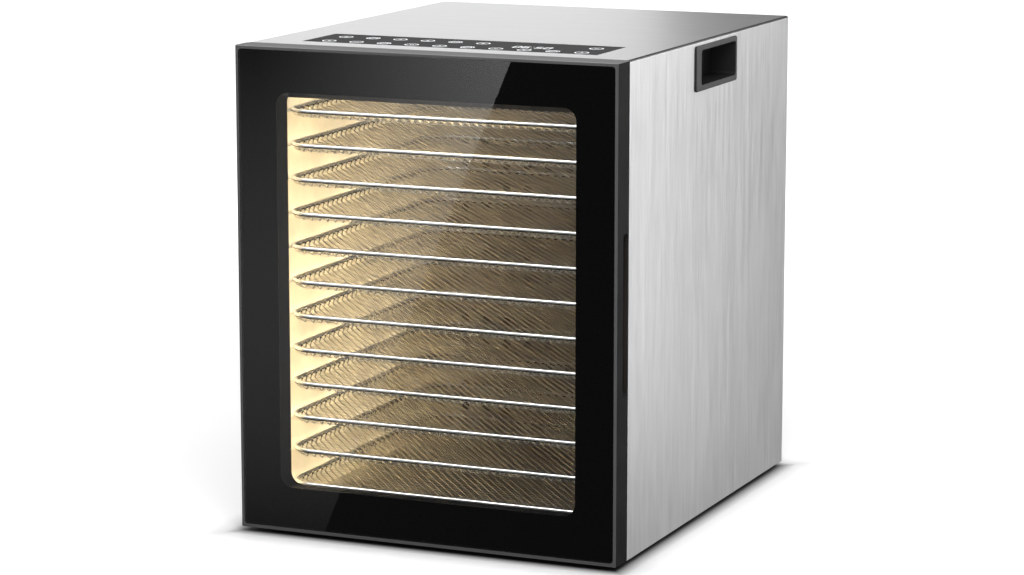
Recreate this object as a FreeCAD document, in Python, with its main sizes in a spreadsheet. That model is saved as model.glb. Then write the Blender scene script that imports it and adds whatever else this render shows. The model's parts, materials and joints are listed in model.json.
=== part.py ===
import FreeCAD, Part
import math
import os
import re
import Sketcher

# Food dehydrator: steel cabinet with a glass door on the left-hand hinge, twelve sliding trays,
# a fan and ring heater behind a perforated baffle, and the electronics above the chamber.
# Frame: X right, Y to the back, Z up, origin on the floor under the middle of the appliance.

V = FreeCAD.Vector
doc = FreeCAD.newDocument("food_dehydrator")
sheet = doc.addObject("Spreadsheet::Sheet", "Dims")

DIMENSIONS = {
    # cabinet
    "width": 345.0,
    "body_height": 413.7,
    "total_depth": 415.0,
    "foot_height": 4.3,
    "foot_radius": 11.0,
    "skin": 1.0,
    "bend_radius": 2.2,
    "fit_gap": 0.2,
    "frame_sheet": 2.0,
    "flange_width": 10.0,
    "rear_inset": 3.0,
    "rear_sheet": 1.2,
    "rear_split": 96.0,
    "pan_height": 9.0,
    # drying chamber
    "chamber_half": 150.0,
    "chamber_floor": 18.0,
    "chamber_top": 373.3,
    "chamber_back": 134.0,
    "liner_sheet": 0.8,
    "runner_reach": 5.2,
    "runner_sheet": 1.0,
    "baffle_hole": 4.0,
    "baffle_pitch": 21.0,
    # trays
    "tray_count": 12,
    "tray_pitch": 29.32,
    "tray_first": 37.5,
    "tray_half": 147.2,
    "tray_front": -173.7,
    "tray_back": 126.8,
    "tray_corner": 25.0,
    "rim_height": 4.0,
    "rim_wall": 3.2,
    "mesh_drop": 5.5,
    "mesh_wall": 0.4,
    # door
    "door_depth": 23.5,
    "door_gap": 0.8,
    "door_edge": 5.0,
    "bezel": 2.8,
    "glass_thick": 3.2,
    "tape_thick": 0.4,
    "glass_corner": 3.0,
    "window_half": 135.3,
    "window_low": 42.4,
    "window_high": 379.8,
    "window_corner": 11.0,
    "cover_sheet": 2.0,
    "grip_low": 143.5,
    "grip_high": 278.0,
    "grip_depth": 6.0,
    "grip_reach": 11.2,
    # hinge on the left edge
    "hinge_inset": 8.0,
    "lug_half": 2.6,
    "lug_thick": 2.5,
    "lug_inset": 11.5,
    "pin_radius": 1.5,
    "pin_clearance": 0.05,
    "bush_radius": 3.0,
    "bush_length": 9.7,
    # touch panel and carry handles
    "panel_half": 134.2,
    "panel_front": -159.3,
    "panel_rear": -94.7,
    "panel_sunk": 0.2,
    "cup_front": -22.4,
    "cup_rear": 62.8,
    "cup_low": 380.0,
    "cup_high": 409.8,
    "cup_depth": 22.0,
    "cup_proud": 1.8,
    # mains inlet in the lower rear plate
    "inlet_left": 97.0,
    "inlet_right": 124.0,
    "inlet_low": 48.0,
    "inlet_high": 68.0,
    # air mover
    "fan_height": 196.0,
    "fan_radius": 72.0,
    "shaft_radius": 2.5,
    "motor_radius": 28.0,
    "coil_radius": 92.0,
    "coil_tube": 3.2,
}
for row, (alias, value) in enumerate(DIMENSIONS.items(), start=1):
    sheet.set(f"A{row}", alias)
    sheet.set(f"B{row}", str(value))
    sheet.setAlias(f"B{row}", alias)
doc.recompute()

ALIASES = re.compile(r"\b(" + "|".join(sorted(DIMENSIONS, key=len, reverse=True)) + r")\b")

# Levels worked out from the driving dimensions, as expressions
SIDE = "(width / 2)"
INSIDE = "(width / 2 - skin - fit_gap)"
TOP = "(foot_height + body_height)"
LID = "(foot_height + body_height - skin - 3 * fit_gap)"
DOOR_FACE = "(-total_depth / 2)"
DOOR_BACK = "(door_depth - total_depth / 2)"
TAPE_BACK = "(glass_thick + tape_thick - total_depth / 2)"
CASE_FRONT = "(door_depth + door_gap - total_depth / 2)"
FRAME_BACK = "(door_depth + door_gap + frame_sheet - total_depth / 2)"
CASE_REAR = "(total_depth / 2)"
PANEL_FRONT_Y = "(total_depth / 2 - rear_inset - rear_sheet)"
PANEL_REAR_Y = "(total_depth / 2 - rear_inset)"
HINGE_X = "(hinge_inset - width / 2)"
HINGE_Y = "(hinge_inset - total_depth / 2)"
LUG_LOW = ("(foot_height + lug_inset)", "(foot_height + lug_inset + lug_thick)")
LUG_HIGH = ("(foot_height + body_height - lug_inset - lug_thick)",
            "(foot_height + body_height - lug_inset)")

TURN = {
    "x": FreeCAD.Rotation(V(0, 0, 1), V(1, 0, 0)),
    "y": FreeCAD.Rotation(V(0, 0, 1), V(0, 1, 0)),
    "z": FreeCAD.Rotation(),
}
PLANE = {"x": "YZ_Plane", "y": "XZ_Plane", "z": "XY_Plane"}
parts = []


def in_sheet(text):
    return ALIASES.sub(r"Dims.\1", str(text))


def number(text):
    return float(sheet.evalExpression(str(text)))


def bind(item, prop, text):
    item.setExpression(prop, in_sheet(text))


def keep(item, label):
    """The finished object of one sub-part; its Label names its file."""
    item.Label = label
    parts.append(item)
    return item


def box(name, x, y, z):
    item = doc.addObject("Part::Box", name)
    for prop, axis, (low, high) in zip(("Length", "Width", "Height"), "xyz", (x, y, z)):
        bind(item, prop, f"({high}) - ({low})")
        bind(item, f"Placement.Base.{axis}", low)
    return item


def rod(name, axis, radius, centre, low, high):
    """A cylinder along axis; centre gives the two other coordinates in x, y, z order."""
    item = doc.addObject("Part::Cylinder", name)
    item.Placement = FreeCAD.Placement(V(), TURN[axis])
    bind(item, "Radius", radius)
    bind(item, "Height", f"({high}) - ({low})")
    others = [letter for letter in "xyz" if letter != axis]
    bind(item, f"Placement.Base.{axis}", low)
    for letter, value in zip(others, centre):
        bind(item, f"Placement.Base.{letter}", value)
    return item


def fuse(name, items):
    item = doc.addObject("Part::MultiFuse", name)
    item.Shapes = items
    item.Refine = True
    return item


def cut(name, base, tools):
    item = doc.addObject("Part::Cut", name)
    item.Base = base
    item.Tool = tools[0] if len(tools) == 1 else fuse(name + "_tools", tools)
    return item


def group(name, items):
    item = doc.addObject("Part::Compound", name)
    item.Links = items
    return item


def new_sketch(body, name, axis, offset):
    sketch = body.newObject("Sketcher::SketchObject", name)
    plane = [item for item in body.Origin.OriginFeatures if item.Role == PLANE[axis]][0]
    sketch.AttachmentSupport = [(plane, "")]
    sketch.MapMode = "FlatFace"
    bind(sketch, "AttachmentOffset.Base.z", offset)
    return sketch


def place_point(sketch, geometry, position, point):
    """Fixes one point of the sketch at a pair of expressions."""
    for kind, text in zip(("DistanceX", "DistanceY"), point):
        rule = sketch.addConstraint(
            Sketcher.Constraint(kind, -1, 1, geometry, position, number(text)))
        bind(sketch, f"Constraints[{rule}]", text)


def draw_polygon(sketch, points):
    spots = [V(number(u), number(v), 0) for u, v in points]
    count = len(spots)
    first = sketch.GeometryCount
    sketch.addGeometry([Part.LineSegment(spots[i], spots[(i + 1) % count]) for i in range(count)], False)
    for i in range(count):
        following = first + (i + 1) % count
        sketch.addConstraint(Sketcher.Constraint("Coincident", first + i, 2, following, 1))
        place_point(sketch, first + i, 1, points[i])


def draw_circle(sketch, centre, radius):
    spot = V(number(centre[0]), number(centre[1]), 0)
    index = sketch.addGeometry(Part.Circle(spot, V(0, 0, 1), number(radius)), False)
    place_point(sketch, index, 3, centre)
    rule = sketch.addConstraint(Sketcher.Constraint("Radius", index, number(radius)))
    bind(sketch, f"Constraints[{rule}]", radius)


def draw_slot(sketch, centre, half_length, radius):
    """A round-ended slot along the sketch's horizontal."""
    u, v = (number(text) for text in centre)
    a, r = number(half_length), number(radius)
    up = V(0, 0, 1)
    first = sketch.GeometryCount
    quarter = math.pi / 2
    sketch.addGeometry([
        Part.LineSegment(V(u - a, v + r, 0), V(u + a, v + r, 0)),
        Part.ArcOfCircle(Part.Circle(V(u + a, v, 0), up, r), -quarter, quarter),
        Part.LineSegment(V(u + a, v - r, 0), V(u - a, v - r, 0)),
        Part.ArcOfCircle(Part.Circle(V(u - a, v, 0), up, r), quarter, 3 * quarter),
    ], False)
    top, right, low, left = range(first, first + 4)
    for ends in ((top, 2, right, 2), (right, 1, low, 1), (low, 2, left, 2), (left, 1, top, 1)):
        sketch.addConstraint(Sketcher.Constraint("Coincident", *ends))
    for arc, side in ((right, "+"), (left, "-")):
        for end in (1, 2):
            sketch.addConstraint(Sketcher.Constraint("Vertical", arc, end, arc, 3))
        place_point(sketch, arc, 3, (f"({centre[0]}) {side} ({half_length})", centre[1]))
        rule = sketch.addConstraint(Sketcher.Constraint("Radius", arc, r))
        bind(sketch, f"Constraints[{rule}]", radius)


def prism(name, axis, points, low, high):
    """A body padded along axis from a polygon in the plane across it."""
    body = doc.addObject("PartDesign::Body", name)
    doc.recompute()
    start = f"-({high})" if axis == "y" else low
    sketch = new_sketch(body, name + "_sketch", axis, start)
    draw_polygon(sketch, points)
    pad = body.newObject("PartDesign::Pad", name + "_pad")
    pad.Profile = sketch
    bind(pad, "Length", f"({high}) - ({low})")
    doc.recompute()
    return body


def rectangle(u, v):
    return [(u[0], v[0]), (u[1], v[0]), (u[1], v[1]), (u[0], v[1])]


def round_edges(body, radius, wanted):
    """Fillets the edges whose bounding box passes the test wanted."""
    base = body.Tip
    names = [f"Edge{i}" for i, edge in enumerate(base.Shape.Edges, start=1) if wanted(edge.BoundBox)]
    fillet = body.newObject("PartDesign::Fillet", f"{body.Name}_fillet{len(body.Group)}")
    fillet.Base = (base, names)
    bind(fillet, "Radius", radius)
    doc.recompute()
    return body


def along(axis):
    """Picks straight edges that run along one axis."""
    def wanted(bounds):
        lengths = {"x": bounds.XLength, "y": bounds.YLength, "z": bounds.ZLength}
        own = lengths.pop(axis)
        return own > 0.01 and max(lengths.values()) < 0.001
    return wanted


def rounded(name, axis, u, v, low, high, radius):
    body = prism(name, axis, rectangle(u, v), low, high)
    return round_edges(body, radius, along(axis))


def mirror_pair(text):
    return (f"-({text})", text)


# ---- Cabinet shell -------------------------------------------------------------------------

def make_case_wrap():
    """One steel sheet folded over both sides and the top, with a narrow return at the rear."""
    inner = "(width / 2 - skin)"
    under = "(foot_height + body_height - skin)"
    outline = [
        (f"-{SIDE}", "foot_height"), (f"-{SIDE}", TOP), (SIDE, TOP), (SIDE, "foot_height"),
        (inner, "foot_height"), (inner, under), (f"-{inner}", under), (f"-{inner}", "foot_height"),
    ]
    folded = prism("wrap_folded", "y", outline, CASE_FRONT, CASE_REAR)
    height, half = number(TOP), number("width / 2")
    skin = number("skin")

    def outer_bend(bounds):
        return along("y")(bounds) and bounds.ZMax > height - 0.01 and abs(bounds.XMax) > half - 0.01

    def inner_bend(bounds):
        at_corner = abs(abs(bounds.XMax) - half + skin) < 0.01
        return along("y")(bounds) and at_corner and abs(bounds.ZMax - height + skin) < 0.01

    round_edges(folded, "bend_radius", outer_bend)
    round_edges(folded, "bend_radius - skin", inner_bend)
    return_y = (f"{PANEL_FRONT_Y} - skin", PANEL_FRONT_Y)
    upright = ("foot_height + 14", f"{TOP} - 0.5")
    returns = [
        box("wrap_return_left", (f"0.5 - {SIDE}", f"flange_width - {SIDE}"), return_y, upright),
        box("wrap_return_right", (f"{SIDE} - flange_width", f"{SIDE} - 0.5"), return_y, upright),
        box("wrap_return_top", mirror_pair(f"{SIDE} - 0.5"), return_y,
            (f"{TOP} - flange_width", upright[1])),
    ]
    window = box("wrap_panel_cutout", mirror_pair("panel_half + fit_gap"),
                 ("panel_front - fit_gap", "panel_rear + fit_gap"), (f"{TOP} - 3", f"{TOP} + 1"))
    cups = box("wrap_cup_cutouts", mirror_pair(f"{SIDE} + 1"),
               ("cup_front - 2.2", "cup_rear + 2.2"), ("cup_low - 2.2", "cup_high + 2.2"))
    holes = [rod(f"wrap_screw_hole_{i}", "y", 1.6, spot, f"{PANEL_FRONT_Y} - 4", f"{PANEL_FRONT_Y} + 1")
             for i, spot in enumerate(side_screw_spots() + top_screw_spots())]
    blank = fuse("wrap_blank", [folded] + returns)
    keep(cut("case_wrap_solid", blank, [window, cups] + holes), "case_wrap")


def side_screw_spots():
    """Rear screws in X and Z up each side; the first two of five hold the lower plate."""
    return [(f"{sign}({SIDE} - 6)", z) for z in (30, 84, 112, 247, 382) for sign in ("-", "")]


def top_screw_spots():
    return [(x, f"({TOP} - 6)") for x in (-80, 80)]


def base_screw_spots():
    return [(x, "(foot_height + 5.5)") for x in (-80, 80)]


def make_base_pan():
    outer = box("pan_outer", mirror_pair(INSIDE), (FRAME_BACK, PANEL_FRONT_Y),
                ("foot_height", "foot_height + pan_height"))
    inner = box("pan_inner", mirror_pair(f"{INSIDE} - skin"),
                (f"{FRAME_BACK} + skin", f"{PANEL_FRONT_Y} - skin"),
                ("foot_height + skin", "foot_height + pan_height + 1"))
    holes = [rod(f"pan_screw_hole_{i}", "y", 1.6, spot, f"{PANEL_FRONT_Y} - 4", f"{PANEL_FRONT_Y} + 1")
             for i, spot in enumerate(base_screw_spots())]
    studs = [rod(f"pan_foot_hole_{i}", "z", 3.1, spot, "foot_height - 1", "foot_height + 3")
             for i, spot in enumerate(foot_spots())]
    keep(cut("base_pan_solid", outer, [inner] + holes + studs), "base_pan")


def foot_spots():
    return [(x, y) for x in (-145, 145) for y in (-165, 182)]


def make_feet():
    """Round rubber feet, each with a stem pushed up through the base and a collar above it."""
    feet = []
    for i, spot in enumerate(foot_spots()):
        pad = doc.addObject("Part::Cone", f"foot_pad_{i}")
        bind(pad, "Radius1", "foot_radius - 1")
        bind(pad, "Radius2", "foot_radius")
        bind(pad, "Height", "foot_height")
        bind(pad, "Placement.Base.x", spot[0])
        bind(pad, "Placement.Base.y", spot[1])
        stem = rod(f"foot_stem_{i}", "z", 3.0, spot, "foot_height - 0.5", "foot_height + skin")
        collar = rod(f"foot_collar_{i}", "z", 4.2, spot, "foot_height + skin", "foot_height + skin + 2")
        feet.append(fuse(f"foot_{i}", [pad, stem, collar]))
    keep(group("rubber_feet_group", feet), "rubber_feet")


def make_rear_panel():
    """Flat rear sheet with an intake grille of round-ended slots behind the fan."""
    outline = rectangle(mirror_pair(INSIDE), ("rear_split + fit_gap", LID))
    body = prism("rear_sheet", "y", outline, PANEL_FRONT_Y, PANEL_REAR_Y)
    doc.recompute()
    sketch = new_sketch(body, "grille_sketch", "y", f"-{PANEL_REAR_Y} - 1")
    for x in (-52, 0, 52):
        draw_slot(sketch, (x, "fan_height - 72"), 19, 2.5)
    pocket = body.newObject("PartDesign::Pocket", "grille_row")
    pocket.Profile = sketch
    pocket.Reversed = True
    bind(pocket, "Length", "rear_sheet + 2")
    doc.recompute()
    rows = body.newObject("PartDesign::LinearPattern", "grille_rows")
    rows.Originals = [pocket]
    rows.Direction = ([item for item in body.Origin.OriginFeatures if item.Role == "Z_Axis"][0], [""])
    rows.Length = 144
    rows.Occurrences = 13
    body.Tip = rows
    doc.recompute()
    keep(cut("rear_panel_solid", body, rear_holes("rear", side_screw_spots()[4:] + top_screw_spots())),
         "rear_panel")


def rear_holes(name, spots):
    return [rod(f"{name}_screw_hole_{i}", "y", 1.6, spot, f"{PANEL_FRONT_Y} - 1", f"{PANEL_REAR_Y} + 1")
            for i, spot in enumerate(spots)]


def make_lower_plate():
    """Plain strip below the grille that carries the mains inlet."""
    plate = box("lower_plate_sheet", mirror_pair(INSIDE), (PANEL_FRONT_Y, PANEL_REAR_Y),
                ("foot_height", "rear_split"))
    inlet = box("lower_inlet_cutout", ("inlet_left - fit_gap", "inlet_right + fit_gap"),
                (f"{PANEL_FRONT_Y} - 1", f"{PANEL_REAR_Y} + 1"), ("inlet_low - fit_gap",
                                                                  "inlet_high + fit_gap"))
    holes = rear_holes("lower", side_screw_spots()[:4] + base_screw_spots())
    keep(cut("lower_plate_solid", plate, [inlet] + holes), "rear_lower_plate")


def make_front_frame():
    """Flat ring that closes the gap between the outer sheet and the chamber mouth."""
    plate = box("frame_plate", mirror_pair(INSIDE), (CASE_FRONT, FRAME_BACK), ("foot_height", LID))
    through = (f"{CASE_FRONT} - 1", f"{FRAME_BACK} + 1")
    mouth = box("frame_mouth", mirror_pair("chamber_half"), through, ("chamber_floor", "chamber_top"))
    notches = []
    for i, (low, high) in enumerate((LUG_LOW, LUG_HIGH)):
        notches.append(box(f"frame_notch_{i}", (f"{HINGE_X} - lug_half - 0.3",
                                                f"{HINGE_X} + lug_half + 0.3"),
                           through, (f"{low} - 0.3", f"{high} + 0.3")))
    seats = [box(f"frame_striker_seat_{i}", (163, 171), (f"{CASE_FRONT} - 1", f"{CASE_FRONT} + 0.8"),
                 (low, high))
             for i, (low, high) in enumerate(striker_levels())]
    keep(cut("front_frame_solid", plate, [mouth] + notches + seats), "front_frame")


def striker_levels():
    return [("foot_height + 24", "foot_height + 48"), (f"{TOP} - 48", f"{TOP} - 24")]


def make_strikers():
    plates = [box(f"striker_{i}", (163.1, 170.9), (CASE_FRONT, f"{CASE_FRONT} + 0.8"),
                  (f"{low} + 0.1", f"{high} - 0.1"))
              for i, (low, high) in enumerate(striker_levels())]
    keep(group("striker_group", plates), "striker_plates")


# ---- Drying chamber ------------------------------------------------------------------------

def tray_level(index):
    """Height of the middle of one tray's rim."""
    return f"(tray_first + {index} * tray_pitch)"


def make_side_liner(side, sign):
    wall = (f"{sign}chamber_half", f"{sign}(chamber_half + liner_sheet)")
    tip = (f"{sign}(chamber_half + liner_sheet / 2)", f"{sign}(chamber_half - runner_reach)")
    if sign == "-":
        wall = (wall[1], wall[0])
    else:
        tip = (tip[1], tip[0])
    sheet_wall = box(f"liner_{side}_wall", wall, (FRAME_BACK, "chamber_back"),
                     ("chamber_floor", "chamber_top"))
    pieces = [sheet_wall]
    for i in range(int(number("tray_count"))):
        top = f"{tray_level(i)} - rim_height / 2 - 0.1"
        pieces.append(box(f"runner_{side}_{i + 1}", tip, ("tray_front - 2", "tray_back - 2"),
                          (f"{top} - runner_sheet", top)))
    keep(fuse(f"liner_{side}_solid", pieces), f"liner_{side}")


def make_floor_and_roof():
    across = mirror_pair("chamber_half + liner_sheet")
    depth = (FRAME_BACK, "chamber_back")
    keep(box("liner_floor_sheet", across, depth, ("chamber_floor - liner_sheet", "chamber_floor")),
         "liner_floor")
    roof = box("roof_sheet", across, depth, ("chamber_top", "chamber_top + liner_sheet"))
    lamp = box("roof_lamp_cutout", (-46, 46), (-156, -132), ("chamber_top - 1", "chamber_top + 2"))
    keep(cut("liner_top_solid", roof, [lamp]), "liner_top")


def make_air_baffle():
    """Perforated sheet between the chamber and the fan."""
    span = mirror_pair("chamber_half + liner_sheet")
    body = prism("baffle_sheet", "y", rectangle(span,
                                                ("chamber_floor - liner_sheet",
                                                 "chamber_top + liner_sheet")),
                 "chamber_back", "chamber_back + liner_sheet")
    sketch = new_sketch(body, "baffle_sketch", "y", "-chamber_back - liner_sheet - 1")
    for column in range(12):
        draw_circle(sketch, (f"(({column}) - 5.5) * baffle_pitch", "chamber_floor + 28"), "baffle_hole")
    pocket = body.newObject("PartDesign::Pocket", "baffle_row")
    pocket.Profile = sketch
    pocket.Reversed = True
    bind(pocket, "Length", "liner_sheet + 2")
    doc.recompute()
    rows = body.newObject("PartDesign::LinearPattern", "baffle_rows")
    rows.Originals = [pocket]
    rows.Direction = ([item for item in body.Origin.OriginFeatures if item.Role == "Z_Axis"][0], [""])
    rows.Occurrences = 15
    bind(rows, "Length", "14 * baffle_pitch")
    body.Tip = rows
    doc.recompute()
    probe = rod("baffle_probe_hole", "y", 2.3, (-120, 366.5), "chamber_back - 1", "chamber_back + 2")
    keep(cut("air_baffle_solid", body, [probe]), "air_baffle")


def make_lamp():
    board = box("lamp_board", (-40, 40), (-149, -139), ("chamber_top + 3.4", "chamber_top + 5"))
    chips = [box(f"lamp_chip_{x}", (x - 1.5, x + 1.5), (-145.5, -142.5),
                 ("chamber_top + 2.4", "chamber_top + 3.4"))
             for x in range(-35, 36, 10)]
    keep(fuse("chamber_lamp_solid", [board] + chips), "chamber_lamp")
    lens = box("lens_block", (-45.8, 45.8), (-155.8, -132.2), ("chamber_top - 1.4", "chamber_top + 0.8"))
    hollow = box("lens_hollow", (-43.8, 43.8), (-153.8, -134.2), ("chamber_top", "chamber_top + 2"))
    flange = box("lens_flange", (-49, 49), (-159, -129), ("chamber_top + 0.8", "chamber_top + 2.2"))
    hole = box("lens_mouth", (-43.8, 43.8), (-153.8, -134.2), ("chamber_top", "chamber_top + 6"))
    keep(cut("lamp_cover_solid", fuse("lens_blank", [lens, flange]), [hollow, hole]), "lamp_cover")


def make_tray(index):
    """Steel band with a shallow wire basket hanging in it; the basket is drawn as a thin pan."""
    name = f"tray_{index + 1:02d}"
    level = tray_level(index)
    depth = ("tray_front", "tray_back")
    rim = rounded(f"{name}_band", "z", mirror_pair("tray_half"), depth,
                  f"{level} - rim_height / 2", f"{level} + rim_height / 2", "tray_corner")

    def inset(gap):
        return mirror_pair(f"tray_half - {gap}"), (f"tray_front + {gap}", f"tray_back - {gap}")

    mouth = rounded(f"{name}_mouth", "z", *inset("rim_wall"),
                    f"{level} - rim_height", f"{level} + rim_height", "tray_corner - rim_wall")
    pan = rounded(f"{name}_pan", "z", *inset("(rim_wall - 0.2)"),
                  f"{level} - mesh_drop", level, "tray_corner - rim_wall + 0.2")
    hollow = rounded(f"{name}_hollow", "z", *inset("(rim_wall - 0.2 + mesh_wall)"),
                     f"{level} - mesh_drop + mesh_wall", f"{level} + rim_height",
                     "tray_corner - rim_wall + 0.2 - mesh_wall")
    band = cut(f"{name}_ring", rim, [mouth])
    basket = cut(f"{name}_basket", pan, [hollow])
    keep(fuse(f"{name}_solid", [band, basket]), name)


# ---- Air mover and heater ------------------------------------------------------------------

def make_fan():
    centre = (0, "fan_height")
    plane_y = "(chamber_back + 17)"
    hub = rod("fan_hub", "y", 11, centre, f"{plane_y} - 5", f"{plane_y} + 8")
    disc = rod("fan_disc", "y", 44, centre, plane_y, f"{plane_y} + 1.2")
    blades = []
    for i in range(8):
        blade = doc.addObject("Part::Box", f"fan_blade_{i}")
        bind(blade, "Length", "fan_radius - 10")
        blade.Width = 13
        blade.Height = 1.2
        turn = FreeCAD.Rotation(V(0, 1, 0), 45 * i)
        start = turn.multVec(V(10, 0, -0.6))
        blade.Placement = FreeCAD.Placement(V(start.x, 0, 0), turn)
        bind(blade, "Placement.Base.y", f"{plane_y} - 9")
        bind(blade, "Placement.Base.z", f"fan_height + ({start.z})")
        blades.append(blade)
    bore = rod("fan_bore", "y", "shaft_radius", centre, f"{plane_y} - 12", f"{plane_y} + 12")
    keep(cut("fan_impeller_solid", fuse("fan_blank", [hub, disc] + blades), [bore]), "fan_impeller")
    keep(rod("fan_shaft_rod", "y", "shaft_radius", centre, f"{plane_y} - 12", f"{plane_y} + 26"),
         "fan_shaft")
    nut = doc.addObject("Part::Prism", "fan_nut_hexagon")
    nut.Polygon = 6
    nut.Circumradius = 5.5
    nut.Height = 4
    nut.Placement = FreeCAD.Placement(V(), TURN["y"])
    bind(nut, "Placement.Base.y", f"{plane_y} - 9.2")
    bind(nut, "Placement.Base.z", "fan_height")
    nut_bore = rod("fan_nut_bore", "y", "shaft_radius", centre, f"{plane_y} - 12", f"{plane_y} - 2")
    keep(cut("fan_nut_solid", nut, [nut_bore]), "fan_nut")
    shell = rod("motor_shell", "y", "motor_radius", centre, f"{plane_y} + 14", f"{plane_y} + 48")
    boss = rod("motor_boss", "y", 9, centre, f"{plane_y} + 10", f"{plane_y} + 15")
    bore = rod("motor_bore", "y", "shaft_radius + pin_clearance", centre, f"{plane_y} + 9",
               f"{plane_y} + 28")
    keep(cut("fan_motor_solid", fuse("motor_blank", [shell, boss]), [bore]), "fan_motor")
    strap_y = (f"{plane_y} + 48", f"{plane_y} + 49.5")
    strap = box("strap_plate", (-104, 104), strap_y, ("fan_height - 15", "fan_height + 15"))
    legs = [box(f"strap_leg_{i}", x, (strap_y[0], PANEL_FRONT_Y), ("fan_height - 15", "fan_height + 15"))
            for i, x in enumerate(((-104, -102.5), (102.5, 104)))]
    toes = [box(f"strap_toe_{i}", x, (f"{PANEL_FRONT_Y} - 1.5", PANEL_FRONT_Y),
                ("fan_height - 15", "fan_height + 15"))
            for i, x in enumerate(((-118, -102.5), (102.5, 118)))]
    keep(fuse("fan_bracket_solid", [strap] + legs + toes), "fan_bracket")


def make_heater():
    """Two rings of tubular heater round the fan, clamped by a bridge, on three ceramic posts."""
    levels = ("chamber_back + 12", "chamber_back + 22")
    rings = []
    for i, level in enumerate(levels):
        ring = doc.addObject("Part::Torus", f"coil_ring_{i}")
        ring.Placement = FreeCAD.Placement(V(), TURN["y"])
        bind(ring, "Radius1", "coil_radius")
        bind(ring, "Radius2", "coil_tube")
        bind(ring, "Placement.Base.y", level)
        bind(ring, "Placement.Base.z", "fan_height")
        rings.append(ring)
    bridge = rod("coil_bridge", "y", "coil_tube", (0, "fan_height - coil_radius"),
                 f"{levels[0]} + coil_tube", f"{levels[1]} - coil_tube")
    tails = [rod(f"coil_tail_{x}", "y", "coil_tube", (x, f"fan_height + sqrt(coil_radius ^ 2 - {x} ^ 2)"),
                 f"{levels[1]} + coil_tube", "chamber_back + 48") for x in (-20, 20)]
    keep(group("heater_coil_group", rings + [bridge] + tails), "heater_coil")
    posts = []
    for i, angle in enumerate((-30, 60, 210)):
        reach = "(coil_radius + coil_tube + 4.1)"
        spot = (f"{reach} * {math.cos(math.radians(angle)):.6f}",
                f"fan_height + {reach} * {math.sin(math.radians(angle)):.6f}")
        posts.append(rod(f"heater_post_{i}", "y", 4.0, spot, "chamber_back + liner_sheet",
                         "chamber_back + 28"))
    keep(group("heater_post_group", posts), "heater_posts")
    body = rod("cutout_body", "y", 8, (62, 330), "chamber_back + liner_sheet", "chamber_back + 9")
    tab = box("cutout_tabs", (52, 72), ("chamber_back + 6", "chamber_back + 7"), (327, 333))
    keep(fuse("thermal_cutout_solid", [body, tab]), "thermal_cutout")
    keep(rod("probe_rod", "y", 2.0, (-120, 366.5), "chamber_back - 22", "chamber_back + 14"), "temp_probe")


# ---- Electronics ---------------------------------------------------------------------------

def make_electronics():
    plate = rounded("touch_plate", "z", mirror_pair("panel_half"), ("panel_front", "panel_rear"),
                    f"{TOP} - skin - 0.5", f"{TOP} - panel_sunk", "2.0")
    seat = box("touch_seat", mirror_pair("panel_half + 4"), ("panel_front - 4", "panel_rear + 4"),
               (f"{TOP} - skin - 3.2", f"{TOP} - skin - 0.2"))
    keep(fuse("touch_panel_solid", [plate, seat]), "touch_panel")
    board = box("control_pcb", (-126, 126), (-156, -98), ("394", "395.6"))
    chips = [box(f"control_chip_{x}", (x, x + 18), (-140, -122), ("395.6", "398")) for x in (-96, -52, -8)]
    pads = [rod(f"touch_spring_{i}", "z", 2.2, (-110 + 22 * i, y), "395.6", "412")
            for i in range(5) for y in (-146, -108)]
    keep(fuse("control_board_solid", [board] + chips + pads), "control_board")
    case = box("display_block", (30, 98), (-146, -112), ("395.8", "412.2"))
    keep(case, "display_module")
    pcb = box("power_pcb", (-70, 70), (60, 160), ("380", "381.6"))
    transformer = box("power_transformer", (-58, -22), (80, 112), ("381.6", "405"))
    relay = box("power_relay", (10, 30), (80, 98), ("381.6", "397"))
    caps = [rod(f"power_capacitor_{x}", "z", 6, (x, 140), "381.6", "400") for x in (-30, -12, 6)]
    sink = box("power_heatsink", (40, 44), (76, 136), ("381.6", "404"))
    posts = [rod(f"power_post_{x}_{y}", "z", 2.5, (x, y), "chamber_top + liner_sheet", "380")
             for x in (-64, 64) for y in (66, 128)]
    plugs = [box("power_plug_mains", (58, 70), (104, 124), ("381.6", "390")),
             box("power_plug_rear", (-26, 26), (150, 160), ("381.6", "390"))]
    keep(fuse("power_board_solid", [pcb, transformer, relay, sink] + caps + posts + plugs), "power_board")
    make_inlet()


def make_inlet():
    """Three-pin mains inlet, set in from the outside of the lower rear plate."""
    flange = box("inlet_flange", ("inlet_left - 7", "inlet_right + 7"),
                 (PANEL_REAR_Y, f"{PANEL_REAR_Y} + 2.4"),
                 ("inlet_low - 3.5", "inlet_high + 3.5"))
    block = box("inlet_block", ("inlet_left", "inlet_right"),
                (f"{PANEL_REAR_Y} - 20", f"{PANEL_REAR_Y} + 1"),
                ("inlet_low", "inlet_high"))
    socket = box("inlet_socket", ("inlet_left + 1.5", "inlet_right - 1.5"),
                 (f"{PANEL_REAR_Y} - 15", f"{PANEL_REAR_Y} + 3"), ("inlet_low + 2", "inlet_high - 2"))
    body = cut("inlet_body", fuse("inlet_blank", [flange, block]), [socket])
    blade_y = (f"{PANEL_REAR_Y} - 16", f"{PANEL_REAR_Y} - 2")
    blades = []
    for i, (across, up) in enumerate(((6.5, 11.0), (13.5, 13.5), (20.5, 11.0))):
        blades.append(box(f"inlet_blade_{i}", (f"inlet_left + {across - 1}", f"inlet_left + {across + 1}"),
                          blade_y,
                          (f"inlet_low + {up - 2}", f"inlet_low + {up + 2}")))
    keep(fuse("mains_inlet_solid", [body] + blades), "mains_inlet")


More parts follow.
